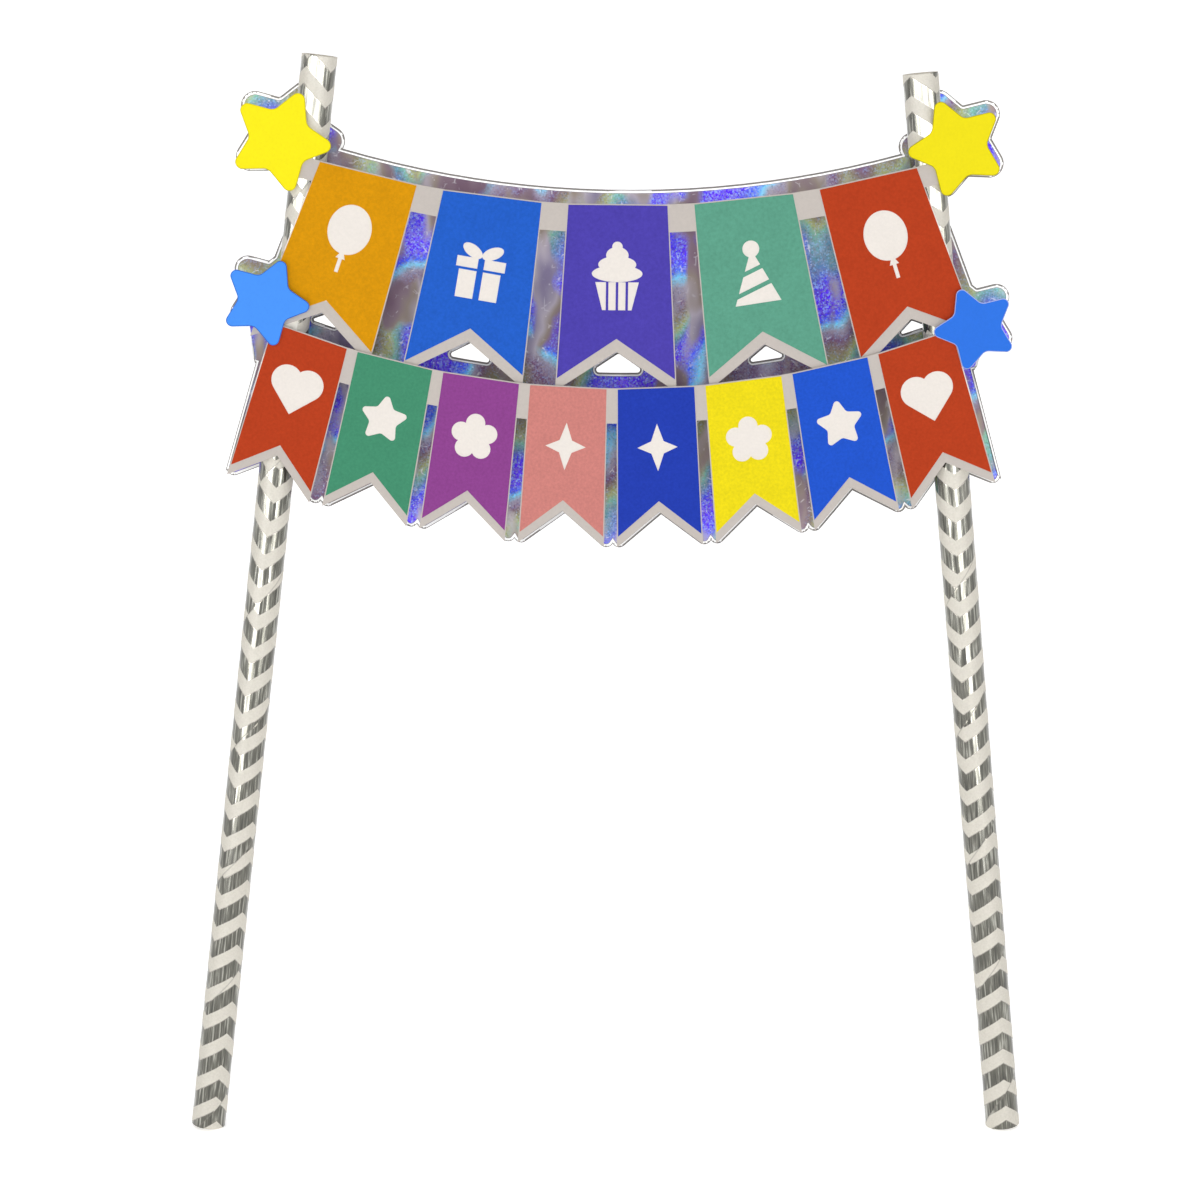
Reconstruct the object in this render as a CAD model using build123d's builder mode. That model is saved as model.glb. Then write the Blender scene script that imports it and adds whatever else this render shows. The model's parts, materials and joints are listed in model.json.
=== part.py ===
from build123d import *
from collections import namedtuple
from math import cos, radians, sin, tan
import os

os.makedirs("parts", exist_ok=True)

# Paper straws, wound from three plies of paper ribbon
straw_diameter = 6.3
ply_count = 3
ply_thickness = 0.15
left_straw_length = 198.9
right_straw_length = 195.3
left_straw_angle = 7.05
right_straw_angle = 5.7
straw_corner_offset = 2.3

# Sheet stock, print and glue
backing_thickness = 0.4
film_thickness = 0.05
strip_thickness = 0.35
star_thickness = 0.35
ink_thickness = 0.04
glue_thickness = 0.15

# The banner stands on the straws, leaning a little as it was glued by hand
banner_height = 171.9
banner_angle = 0.6

# Upper flag strip: the printed panels hang from an arc and fan out more than their top edges
upper_flag_count = 5
upper_arc_radius = 192.5
upper_flag_pitch = 22.07
upper_fan_angle = 9.35
upper_flag_top_width = 17.35
upper_flag_bottom_width = 20.95
upper_flag_height = 30.6
upper_notch_depth = 7.1
upper_tail_border = 2.3
upper_tab_height = 4.9
end_tab_height = 3.8
end_tab_length = 7.0

# Lower flag strip, in front of the upper flags' tails
lower_flag_count = 8
lower_flag_pitch = 15.54
lower_fan_angle = 4.54
lower_flag_top_width = 13.55
lower_flag_bottom_width = 14.95
lower_flag_height = 26.5
lower_notch_depth = 6.2
lower_tail_border = 1.95
lower_tab_height = 6.3
lower_strip_drop = 32.35
lower_strip_shift = -0.65
lower_arc_ease = 6.55

# Unprinted edges of the strips, and how far a tab runs in behind its flag
side_border = 0.2
top_border = 0.2
tab_lap = 0.5

# Die-cut backing: how far it shows past the strips, and the holes in the upper notches
backing_shift = 0.45
backing_top_margin = 2.2
backing_corner_margin = 2.8
backing_side_margin = 2.2
tail_margin = 1.35
end_tail_drop = 1.0
web_depth = 9.0
hole_roof_margin = 1.15
hole_floor_margins = (1.45, 1.7, 1.7, 2.05, 1.0)
hole_corner_share = 0.15
lobe_margin = 1.3
lobe_rise = 0.5
yellow_lobe_inset = 0.15
blue_lobe_inset = 0.7

# Stars, placed from the outer top corner of the end flag that each one covers
left_yellow_star_radius = 10.3
right_yellow_star_radius = 9.9
left_blue_star_radius = 9.05
right_blue_star_radius = 8.55
yellow_star_out = 6.9
yellow_star_rise = 3.65
left_blue_star_out = 1.5
left_blue_star_rise = 3.85
right_blue_star_out = 4.2
right_blue_star_rise = 0.5
star_turn_angle = 24.4
star_points = 5
star_valley_share = 0.52
star_tip_round_share = 0.12
star_valley_round_share = 0.17

# Foam pads that hold the strips and stars off the backing
upper_pad_width = 9.0
upper_pad_height = 14.0
lower_pad_width = 7.0
lower_pad_height = 12.0
pad_drop_share = 0.42
star_pad_width = 2.8
star_pad_height = 4.4
star_pad_rise = 1.25
star_pad_gap = 0.5

# Glue beads along the straws
bead_width = 2.6
rear_bead_length = 46.0
front_bead_length = 10.0
rear_bead_drop_share = 0.78
upper_bead_drop_share = 0.8
lower_bead_drop_share = 0.5

# White motifs left unprinted in the panels
upper_motif_height = 12.4
lower_motif_height = 8.6
motif_drop_share = 0.4

# Shapes of the motifs, as shares of a motif's height
heart_side_share = 0.64
heart_turn_angle = 45
flower_petals = 5
flower_ring_share = 0.29
flower_petal_share = 0.2
flower_eye_share = 0.17
flower_turn_angle = 90
sparkle_width_share = 0.84
sparkle_waist_share = 0.13
small_star_share = 0.56
balloon_half_width_share = 0.31
balloon_half_height_share = 0.36
balloon_rise_share = 0.15
balloon_knot_share = 0.07
balloon_string_width_share = 0.055
balloon_string_length_share = 0.27
gift_box_width_share = 0.6
gift_box_height_share = 0.4
gift_box_drop_share = 0.29
gift_lid_width_share = 0.7
gift_lid_height_share = 0.15
gift_lid_rise_share = 0.02
gift_ribbon_share = 0.09
gift_loop_half_width_share = 0.16
gift_loop_half_height_share = 0.085
gift_loop_across_share = 0.145
gift_loop_rise_share = 0.19
gift_loop_angle = 28
cake_case_top_share = 0.62
cake_case_foot_share = 0.42
cake_case_height_share = 0.4
cake_pleats = 3
cake_pleat_share = 0.035
cake_icing_half_width_shares = (0.36, 0.27, 0.16)
cake_icing_half_height_share = 0.12
cake_icing_step_share = 0.13
cake_cherry_share = 0.075
hat_width_share = 0.66
hat_height_share = 0.78
hat_band_share = 0.06
hat_band_angle = 18
hat_band_rise_shares = (0.22, 0.48)
hat_pompom_share = 0.12

# Worked-out distances towards the viewer, measured from the straws' axes
straw_radius = straw_diameter / 2
straw_clear = straw_radius + glue_thickness
film_back = -straw_clear - film_thickness
card_back = film_back - backing_thickness
upper_front = straw_clear + strip_thickness
lower_back = upper_front + ink_thickness
lower_front = lower_back + strip_thickness
blue_star_back = lower_front + ink_thickness

# The lower strip's arc is a little flatter than one drawn about the upper arc's centre
lower_arc_radius = upper_arc_radius - lower_strip_drop + lower_arc_ease

Strip = namedtuple(
    "Strip",
    "count radius pitch fan centre top bottom height notch tail tab motif",
)
upper = Strip(
    upper_flag_count,
    upper_arc_radius,
    upper_flag_pitch,
    upper_fan_angle,
    Vector(0, upper_arc_radius),
    upper_flag_top_width,
    upper_flag_bottom_width,
    upper_flag_height,
    upper_notch_depth,
    upper_tail_border,
    upper_tab_height,
    upper_motif_height,
)
lower = Strip(
    lower_flag_count,
    lower_arc_radius,
    lower_flag_pitch,
    lower_fan_angle,
    Vector(lower_strip_shift, lower_arc_radius - lower_strip_drop),
    lower_flag_top_width,
    lower_flag_bottom_width,
    lower_flag_height,
    lower_notch_depth,
    lower_tail_border,
    lower_tab_height,
    lower_motif_height,
)


def save(builder, name):
    """Label a finished piece and write it."""
    builder.part.label = name
    export_step(builder.part, f"parts/{name}.step")


def flag_axes(strip, index):
    """Middle of a flag's top edge, the way that edge runs and the way the flag hangs."""
    place = index - (strip.count - 1) / 2
    edge = strip.pitch * place / strip.radius
    hang = radians(strip.fan * place)
    middle = strip.centre + Vector(sin(edge), -cos(edge)) * strip.radius
    return middle, Vector(cos(edge), sin(edge)), Vector(sin(hang), -cos(hang))


def flag_point(strip, index, drop, hand, side=0):
    """Point on a flag's left (-1), middle (0) or right (1) line, a drop below its top edge."""
    middle, along, down = flag_axes(strip, index)
    flare = (strip.bottom - strip.top) / strip.height
    half = (strip.top + flare * drop) / 2 + side
    return middle + down * drop + along * (half * hand)


def flag_outline(strip, index, side=0, top=0, tail=0):
    """Swallowtail outline of a flag, grown past its printed panel by the borders given."""
    end = strip.height + tail
    return [
        flag_point(strip, index, -top, -1, side),
        flag_point(strip, index, -top, 1, side),
        flag_point(strip, index, end, 1, side),
        flag_point(strip, index, end - strip.notch, 0),
        flag_point(strip, index, end, -1, side),
    ]


def tab_outline(strip, index):
    """Outline of the tab from one flag to the next."""
    near = flag_point(strip, index, -top_border, 1, side_border - tab_lap)
    far = flag_point(strip, index + 1, -top_border, -1, side_border - tab_lap)
    near_down = flag_axes(strip, index)[2] * strip.tab
    far_down = flag_axes(strip, index + 1)[2] * strip.tab
    return [near, far, far + far_down, near + near_down]


def end_tab_outline(index, hand):
    """Outline of the tab that runs from an upper end flag out under its star."""
    middle, along, down = flag_axes(upper, index)
    root = flag_point(upper, index, -top_border, hand, side_border - tab_lap)
    out = along * (hand * (end_tab_length + tab_lap))
    return [root, root + out, root + out + down * end_tab_height, root + down * end_tab_height]


def star_outline(radius, turn):
    """Corners of a star with its first tip turned from upright, positive to the left."""
    corners = []
    for step in range(2 * star_points):
        reach = radius if step % 2 == 0 else radius * star_valley_share
        angle = radians(90 + turn + step * 180 / star_points)
        corners.append((reach * cos(angle), reach * sin(angle)))
    return corners


def star_sketch(radius, turn):
    """Star with rounded tips and eased valleys about its own centre."""
    with BuildSketch() as shape:
        with BuildLine():
            Polyline(*star_outline(radius, turn), close=True)
        make_face()
        corners = shape.vertices().sort_by(lambda corner: (corner.X**2 + corner.Y**2))
        fillet(corners[star_points:], radius * star_tip_round_share)
        fillet(
            shape.vertices().sort_by(lambda corner: (corner.X**2 + corner.Y**2))[:star_points],
            radius * star_valley_round_share,
        )
    return shape.sketch


def lobe_sketch(star):
    """Backing lobe behind a star, its outline drawn evenly outside the star's."""
    with BuildSketch() as shape:
        add(star_sketch(star.radius, star.turn))
        offset(amount=lobe_margin)
    return shape.sketch


# Where the straws cross the banner, and so where the feet and the banner's middle lie
lean_across = Vector(cos(radians(banner_angle)), -sin(radians(banner_angle)))
lean_up = Vector(sin(radians(banner_angle)), cos(radians(banner_angle)))


def upright(point):
    """Banner point turned by the banner's lean, as a place across and a height above its middle."""
    return lean_across * point.X + lean_up * point.Y


def crossing(index, hand):
    """Place where a straw's axis passes the outer top corner of an upper end flag."""
    along = flag_axes(upper, index)[1]
    return upright(flag_point(upper, index, 0, hand) + along * (hand * straw_corner_offset))


def foot_reach(index, hand, lean):
    """How far to the side of the banner's middle a straw's lower end lies."""
    place = crossing(index, hand)
    rise = banner_height + place.Y - straw_radius * sin(radians(lean))
    return place.X + hand * rise * tan(radians(lean))


left_foot = foot_reach(0, -1, left_straw_angle)
right_foot = foot_reach(upper.count - 1, 1, right_straw_angle)
banner_middle = -(left_foot + right_foot) / 2
banner = Plane(
    origin=(banner_middle, 0, banner_height),
    x_dir=(lean_across.X, 0, lean_across.Y),
    z_dir=(0, -1, 0),
)


def straw_plane(foot, hand, lean):
    """Plane across a straw's lower end, its normal up the straw and its Y to the rear."""
    tilt = radians(lean)
    return Plane(
        origin=(foot + banner_middle, 0, straw_radius * sin(tilt)),
        x_dir=(cos(tilt), 0, hand * sin(tilt)),
        z_dir=(-hand * sin(tilt), 0, cos(tilt)),
    )


Straw = namedtuple("Straw", "name hand plane length end_upper end_lower")
straws = [
    Straw("left", -1, straw_plane(left_foot, -1, left_straw_angle), left_straw_length, 0, 0),
    Straw(
        "right",
        1,
        straw_plane(right_foot, 1, right_straw_angle),
        right_straw_length,
        upper.count - 1,
        lower.count - 1,
    ),
]


def up_straw(straw, point):
    """How far up a straw's axis a banner point lies."""
    return straw.plane.to_local_coords(banner.from_local_coords(point)).Z


def axis_place(straw, height):
    """Banner place of the straw's axis at a banner height."""
    foot = banner.to_local_coords(straw.plane.origin)
    way = banner.to_local_coords(straw.plane.origin + straw.plane.z_dir) - foot
    return foot.X + way.X * (height - foot.Y) / way.Y


Star = namedtuple("Star", "name straw radius centre turn back lobe_inset")
stars = []
for straw, yellow_radius, blue_radius, blue_out, blue_rise in (
    (straws[0], left_yellow_star_radius, left_blue_star_radius, left_blue_star_out, left_blue_star_rise),
    (straws[1], right_yellow_star_radius, right_blue_star_radius, right_blue_star_out, right_blue_star_rise),
):
    yellow_corner = flag_point(upper, straw.end_upper, 0, straw.hand)
    blue_corner = flag_point(lower, straw.end_lower, 0, straw.hand)
    yellow_centre = yellow_corner + Vector(straw.hand * yellow_star_out, yellow_star_rise)
    blue_centre = blue_corner + Vector(straw.hand * blue_out, blue_rise)
    turn = straw.hand * star_turn_angle
    yellow_place = (yellow_radius, yellow_centre, turn, upper_front, yellow_lobe_inset)
    blue_place = (blue_radius, blue_centre, turn, blue_star_back, blue_lobe_inset)
    stars.append(Star(f"upper_{straw.name}_star", straw, *yellow_place))
    stars.append(Star(f"lower_{straw.name}_star", straw, *blue_place))

# Straw plies
for straw in straws:
    for ply, ply_name in enumerate(("outer", "middle", "inner")[:ply_count]):
        ply_radius = straw_radius - ply * ply_thickness
        with BuildPart() as straw_ply:
            with BuildSketch(straw.plane):
                Circle(ply_radius)
                Circle(ply_radius - ply_thickness, mode=Mode.SUBTRACT)
            extrude(amount=straw.length)
        save(straw_ply, f"{straw.name}_straw_{ply_name}_ply")

# Flag strips, each die-cut in one piece
for strip, name, back in ((upper, "upper_flag_strip", straw_clear), (lower, "lower_flag_strip", lower_back)):
    with BuildPart() as flag_strip:
        with BuildSketch(banner.offset(back)):
            for index in range(strip.count):
                with BuildLine():
                    Polyline(*flag_outline(strip, index, side_border, top_border, strip.tail), close=True)
                make_face()
            for index in range(strip.count - 1):
                with BuildLine():
                    Polyline(*tab_outline(strip, index), close=True)
                make_face()
            if strip is upper:
                for straw in straws:
                    with BuildLine():
                        Polyline(*end_tab_outline(straw.end_upper, straw.hand), close=True)
                    make_face()
        extrude(amount=strip_thickness)
    save(flag_strip, name)

# Stars
for star in stars:
    with BuildPart() as card_star:
        with BuildSketch(banner.offset(star.back)):
            with Locations(star.centre):
                add(star_sketch(star.radius, star.turn))
        extrude(amount=star_thickness)
    save(card_star, star.name)

# Backing outline: a web behind the strips, a lobe behind each star and a tail behind each lower flag
web_corners = []
end_tails = []
end_drop = lower.height + lower.tail + end_tail_drop
for straw in straws:
    web_corners.append(
        flag_point(upper, straw.end_upper, -backing_corner_margin, straw.hand, backing_side_margin)
    )
    web_corners.append(flag_point(upper, straw.end_upper, upper.height, straw.hand, backing_side_margin))
    web_corners.append(flag_point(lower, straw.end_lower, web_depth, straw.hand, backing_side_margin))
    end_tails.append(
        [
            flag_point(lower, straw.end_lower, 0, 0),
            flag_point(lower, straw.end_lower, 0, straw.hand, backing_side_margin),
            flag_point(lower, straw.end_lower, end_drop, straw.hand, side_border + tail_margin),
            flag_point(lower, straw.end_lower, end_drop - lower.notch, 0),
        ]
    )
left_top, left_side, left_low, right_top, right_side, right_low = web_corners
top_middle = upper.centre - Vector(0, upper.radius - backing_top_margin)
low_middle = lower.centre - Vector(0, lower.radius + web_depth)
with BuildSketch() as backing_body:
    with BuildLine():
        ThreePointArc(left_top, top_middle, right_top)
        Polyline(right_top, right_side, right_low)
        ThreePointArc(right_low, low_middle, left_low)
        Polyline(left_low, left_side, left_top)
    make_face()
    for star in stars:
        with Locations(star.centre - Vector(star.straw.hand * star.lobe_inset, -lobe_rise)):
            add(lobe_sketch(star))

backing_tails = []
for index in range(lower.count):
    with BuildSketch() as backing_tail:
        with BuildLine():
            Polyline(*flag_outline(lower, index, side_border, top_border, lower.tail), close=True)
        make_face()
        offset(amount=tail_margin)
    backing_tails.append(backing_tail.sketch)

notch_holes = []
for index, hole_floor_margin in enumerate(hole_floor_margins):
    apex = flag_point(upper, index, upper.height - upper.notch + upper.tail + hole_roof_margin, 0)
    middle, along, down = flag_axes(upper, index)
    reach = along * (upper.bottom / 2) + down * upper.notch
    mirrored = down * upper.notch - along * (upper.bottom / 2)
    floor_radius = lower.radius - top_border - hole_floor_margin
    hole_height = floor_radius - (apex - lower.centre).length
    with BuildSketch() as notch_hole:
        with BuildLine():
            Polyline(apex, apex + mirrored, apex + reach, close=True)
        make_face()
        with Locations(lower.centre):
            Circle(floor_radius, mode=Mode.INTERSECT)
        fillet(notch_hole.vertices(), hole_height * hole_corner_share)
    notch_holes.append(notch_hole.sketch)

with BuildSketch() as backing_outline:
    add(backing_body.sketch)
    add(backing_tails)
    for corners in end_tails:
        with BuildLine():
            Polyline(*corners, close=True)
        make_face()
    add(notch_holes, mode=Mode.SUBTRACT)

# Backing card and the holographic film on its face
for name, back, thickness in (
    ("backing_card", card_back, backing_thickness),
    ("holographic_film", film_back, film_thickness),
):
    with BuildPart() as backing_sheet:
        with BuildSketch(banner.offset(back)):
            with Locations((backing_shift, 0)):
                add(backing_outline.sketch)
        extrude(amount=thickness)
    save(backing_sheet, name)

# Foam pads behind the flags that hang clear of the straws
for strip, name, back, width, height in (
    (upper, "upper", straw_clear, upper_pad_width, upper_pad_height),
    (lower, "lower", lower_back, lower_pad_width, lower_pad_height),
):
    for index in range(1, strip.count - 1):
        place = flag_point(strip, index, strip.height * pad_drop_share, 0)
        turn = strip.fan * (index - (strip.count - 1) / 2)
        with BuildPart() as flag_pad:
            with BuildSketch(banner.offset(-straw_clear)):
                with Locations(place):
                    Rectangle(width, height, rotation=turn)
            extrude(amount=straw_clear + back)
        save(flag_pad, f"{name}_flag_pad_{index + 1}")

# Foam pads behind the stars, outside the straw and the upper end flag
for star in stars:
    hand = star.straw.hand
    pad_middle = star.centre.Y + star_pad_rise
    pad_low = pad_middle - star_pad_height / 2
    flag_top = flag_point(upper, star.straw.end_upper, 0, hand, side_border)
    flag_foot = flag_point(upper, star.straw.end_upper, upper.height + upper.tail, hand, side_border)
    flag_way = (flag_foot.X - flag_top.X) / (flag_foot.Y - flag_top.Y)
    flag_side = hand * (flag_top.X + flag_way * (pad_low - flag_top.Y))
    straw_side = hand * axis_place(star.straw, pad_low) + straw_radius / star.straw.plane.z_dir.Z
    across = max(flag_side, straw_side) + star_pad_gap + star_pad_width / 2
    with BuildPart() as star_pad:
        with BuildSketch(banner.offset(-straw_clear)):
            with Locations((hand * across, pad_middle)):
                Rectangle(star_pad_width, star_pad_height)
        extrude(amount=straw_clear + star.back)
    save(star_pad, f"{star.name}_pad")


def glue_bead(name, straw, start, length, rear, reach):
    """Bead that fills between a straw and the flat sheet at a reach in front of or behind its axis."""
    hand = 1 if rear else -1
    with BuildPart() as bead:
        with BuildSketch(straw.plane.offset(start)):
            with Locations((0, hand * reach / 2)):
                Rectangle(bead_width, reach)
            Circle(straw_radius, mode=Mode.SUBTRACT)
        extrude(amount=length)
    save(bead, name)


# Glue beads: one long one behind each straw, and spots that hold the end flags in front
for straw in straws:
    rear_place = flag_point(upper, straw.end_upper, upper.height * rear_bead_drop_share, 0)
    upper_place = flag_point(upper, straw.end_upper, upper.height * upper_bead_drop_share, 0)
    lower_place = flag_point(lower, straw.end_lower, lower.height * lower_bead_drop_share, 0)
    rear_start = up_straw(straw, rear_place) - rear_bead_length / 2
    upper_start = up_straw(straw, upper_place) - front_bead_length / 2
    lower_start = up_straw(straw, lower_place) - front_bead_length / 2
    glue_bead(f"{straw.name}_rear_glue", straw, rear_start, rear_bead_length, True, straw_clear)
    glue_bead(f"{straw.name}_upper_glue", straw, upper_start, front_bead_length, False, straw_clear)
    glue_bead(f"{straw.name}_lower_glue", straw, lower_start, front_bead_length, False, lower_back)


def heart(size):
    """Heart of a square on its corner and two half rounds."""
    side = size * heart_side_share
    lift = side / 2 * cos(radians(heart_turn_angle))
    with BuildSketch() as shape:
        Rectangle(side, side, rotation=heart_turn_angle)
        with Locations((-lift, lift), (lift, lift)):
            Circle(side / 2)
    return shape.sketch


def flower(size):
    """Flower of round petals about a round middle."""
    with BuildSketch() as shape:
        with PolarLocations(size * flower_ring_share, flower_petals, flower_turn_angle):
            Circle(size * flower_petal_share)
        Circle(size * flower_eye_share)
    return shape.sketch


def sparkle(size):
    """Four-pointed twinkle with drawn-in sides."""
    tall = size / 2
    wide = tall * sparkle_width_share
    waist = size * sparkle_waist_share
    with BuildSketch() as shape:
        with BuildLine():
            Polyline(
                (0, tall),
                (waist, waist),
                (wide, 0),
                (waist, -waist),
                (0, -tall),
                (-waist, -waist),
                (-wide, 0),
                (-waist, waist),
                close=True,
            )
        make_face()
    return shape.sketch


def small_star(size):
    """Upright star like the card ones."""
    return star_sketch(size * small_star_share, 0)


def balloon(size):
    """Balloon with a knot and a short string."""
    knot = size * balloon_knot_share
    neck = size * (balloon_rise_share - balloon_half_height_share)
    string = size * balloon_string_length_share
    with BuildSketch() as shape:
        with Locations((0, size * balloon_rise_share)):
            Ellipse(size * balloon_half_width_share, size * balloon_half_height_share)
        with BuildLine():
            Polyline((0, neck + knot), (knot, neck - knot), (-knot, neck - knot), close=True)
        make_face()
        with Locations((0, neck - string / 2)):
            Rectangle(size * balloon_string_width_share, string)
    return shape.sketch


def gift(size):
    """Wrapped box with a lid, a printed ribbon and a bow of two loops."""
    loop_wide = size * gift_loop_half_width_share
    loop_tall = size * gift_loop_half_height_share
    with BuildSketch() as shape:
        with Locations((0, -size * gift_box_drop_share)):
            Rectangle(size * gift_box_width_share, size * gift_box_height_share)
        with Locations((0, size * gift_lid_rise_share)):
            Rectangle(size * gift_lid_width_share, size * gift_lid_height_share)
        with Locations((0, -size * gift_box_drop_share)):
            Rectangle(size * gift_ribbon_share, size, mode=Mode.SUBTRACT)
        for hand in (-1, 1):
            with Locations((hand * size * gift_loop_across_share, size * gift_loop_rise_share)):
                Ellipse(loop_wide, loop_tall, rotation=hand * gift_loop_angle)
    return shape.sketch


def cupcake(size):
    """Cup cake in a pleated case, with icing in three rounds and a cherry."""
    case_low = -size / 2
    case_top = case_low + size * cake_case_height_share
    half_top = size * cake_case_top_share / 2
    half_foot = size * cake_case_foot_share / 2
    pleat = size * cake_pleat_share
    icing_tall = size * cake_icing_half_height_share
    icing_low = case_top + icing_tall
    with BuildSketch() as shape:
        with BuildLine():
            Polyline(
                (-half_top, case_top),
                (half_top, case_top),
                (half_foot, case_low),
                (-half_foot, case_low),
                close=True,
            )
        make_face()
        for step in range(cake_pleats):
            place = (step - (cake_pleats - 1) / 2) / cake_pleats * 2
            with Locations((place * half_foot, case_low + size * cake_case_height_share / 2)):
                Rectangle(pleat, size * cake_case_height_share, mode=Mode.SUBTRACT)
        for step, icing_share in enumerate(cake_icing_half_width_shares):
            with Locations((0, icing_low + step * size * cake_icing_step_share)):
                Ellipse(size * icing_share, icing_tall)
        icing_top = icing_low + (len(cake_icing_half_width_shares) - 1) * size * cake_icing_step_share
        with Locations((0, icing_top + icing_tall)):
            Circle(size * cake_cherry_share)
    return shape.sketch


def party_hat(size):
    """Cone hat with two printed bands and a pompom."""
    low = -size / 2
    peak = low + size * hat_height_share
    half = size * hat_width_share / 2
    with BuildSketch() as shape:
        with BuildLine():
            Polyline((-half, low), (half, low), (0, peak), close=True)
        make_face()
        for rise_share in hat_band_rise_shares:
            with Locations((0, low + size * rise_share)):
                Rectangle(size, size * hat_band_share, rotation=hat_band_angle, mode=Mode.SUBTRACT)
        with Locations((0, peak)):
            Circle(size * hat_pompom_share)
    return shape.sketch


# Printed panels: a film of ink on each flag, with its motif left white
upper_motifs = (balloon, gift, cupcake, party_hat, balloon)
lower_motifs = (heart, small_star, flower, sparkle, sparkle, flower, small_star, heart)
for strip, name, front, motifs in (
    (upper, "upper", upper_front, upper_motifs),
    (lower, "lower", lower_front, lower_motifs),
):
    for index in range(strip.count):
        motif = motifs[index % len(motifs)](strip.motif)
        turn = strip.fan * (index - (strip.count - 1) / 2)
        place = flag_point(strip, index, strip.height * motif_drop_share, 0)
        with BuildPart() as print_panel:
            with BuildSketch(banner.offset(front)):
                with BuildLine():
                    Polyline(*flag_outline(strip, index), close=True)
                make_face()
                with Locations(Location((place.X, place.Y), turn)):
                    add(motif, mode=Mode.SUBTRACT)
            extrude(amount=ink_thickness)
        save(print_panel, f"{name}_print_{index + 1}")
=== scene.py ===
"""Dresses the cake topper: card flags and stars on a film-faced backing, carried by two paper straws."""

import json
import logging
import math
from collections.abc import Iterable
from dataclasses import dataclass
from enum import Enum

import bmesh
import bpy
from mathutils import Matrix, Vector


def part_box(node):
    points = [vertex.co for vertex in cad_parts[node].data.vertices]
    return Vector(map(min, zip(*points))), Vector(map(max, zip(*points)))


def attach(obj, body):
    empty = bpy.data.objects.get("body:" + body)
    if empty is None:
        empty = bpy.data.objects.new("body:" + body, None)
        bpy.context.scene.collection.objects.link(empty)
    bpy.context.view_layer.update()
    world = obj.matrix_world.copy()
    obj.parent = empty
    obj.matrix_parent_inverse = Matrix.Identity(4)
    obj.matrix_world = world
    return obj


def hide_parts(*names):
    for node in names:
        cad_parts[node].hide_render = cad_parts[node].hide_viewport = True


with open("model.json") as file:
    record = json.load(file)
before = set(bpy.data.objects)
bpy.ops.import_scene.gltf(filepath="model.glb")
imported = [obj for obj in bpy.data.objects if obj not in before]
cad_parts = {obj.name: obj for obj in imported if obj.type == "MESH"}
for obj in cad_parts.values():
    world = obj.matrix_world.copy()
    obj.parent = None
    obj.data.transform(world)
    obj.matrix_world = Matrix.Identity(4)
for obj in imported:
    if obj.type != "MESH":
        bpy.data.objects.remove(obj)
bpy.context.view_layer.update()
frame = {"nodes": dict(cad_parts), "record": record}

Tree = bpy.types.NodeTree
Node = bpy.types.Node
Socket = bpy.types.NodeSocket
Triple = tuple[float, float, float]
Colour = tuple[float, float, float, float]
Links = dict[str | int, object]

LOG = logging.getLogger("cake_topper")
MM = 0.001
# Width and height of the photograph, in pixels
PHOTO_SIDE = 1200


def linear(text: str) -> Colour:
    """Turn an sRGB hex colour into the linear one that shaders take.

    Args:
        text: Colour as "#rrggbb".

    Returns:
        Linear red, green, blue and an alpha of 1.
    """
    shares = [int(text[place : place + 2], 16) / 255 for place in (1, 3, 5)]
    red, green, blue = [s / 12.92 if s <= 0.04045 else ((s + 0.055) / 1.055) ** 2.4 for s in shares]
    return red, green, blue, 1.0


def feed(tree: Tree, node: Node, links: Links) -> None:
    """Set a node's inputs, or join them to the sockets that feed them.

    Args:
        tree: Node tree that the node is in.
        node: The node.
        links: Input name or number to a plain value, or to the socket that feeds it.
    """
    for key, value in links.items():
        if isinstance(value, Socket):
            tree.links.new(value, node.inputs[key])
        else:
            node.inputs[key].default_value = value


def add_node(
    tree: Tree,
    kind: str,
    links: Links | None = None,
    stops: Iterable[tuple[float, str]] = (),
    **settings: object,
) -> Node:
    """Add one shader node, set it up and feed its inputs.

    Args:
        tree: Node tree that takes the node.
        kind: Blender's name for the type of node, without ShaderNode before it.
        links: Input name or number to a plain value, or to the socket that feeds it.
        stops: Places from 0 to 1 with their sRGB hex colours, in order, where it has a colour ramp.
        settings: Properties of the node to set.

    Returns:
        The new node.
    """
    made = tree.nodes.new(f"ShaderNode{kind}")
    for key, value in settings.items():
        setattr(made, key, value)
    for number, (place, text) in enumerate(stops):
        elements = made.color_ramp.elements
        stop = elements[number] if number < 2 else elements.new(place)
        stop.position = place
        stop.color = linear(text)
    feed(tree, made, links or {})
    return made


@dataclass(frozen=True)
class Finish:
    """What every finish has: a name and a shader to fill.

    Args:
        name: Name for the material.
    """

    name: str

    def material(self) -> bpy.types.Material:
        """Make this finish's material, or find it where it is made already.

        Returns:
            The material.
        """
        made = bpy.data.materials.get(self.name)
        if made is None:
            made = bpy.data.materials.new(self.name)
            made.use_nodes = True
            self.dress(made.node_tree, made.node_tree.nodes["Principled BSDF"])
        return made

    def dress(self, tree: Tree, shader: Node) -> None:
        """Fill the material's Principled shader."""
        raise NotImplementedError

    def millimetres(self, tree: Tree) -> Socket:
        """Give the piece's own coordinates in millimetres.

        Args:
            tree: The material's node tree.

        Returns:
            Socket with the place in millimetres.
        """
        place = add_node(tree, "TexCoord")
        grown = {0: place.outputs["Object"], "Scale": 1 / MM}
        return add_node(tree, "VectorMath", grown, operation="SCALE").outputs[0]


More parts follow.
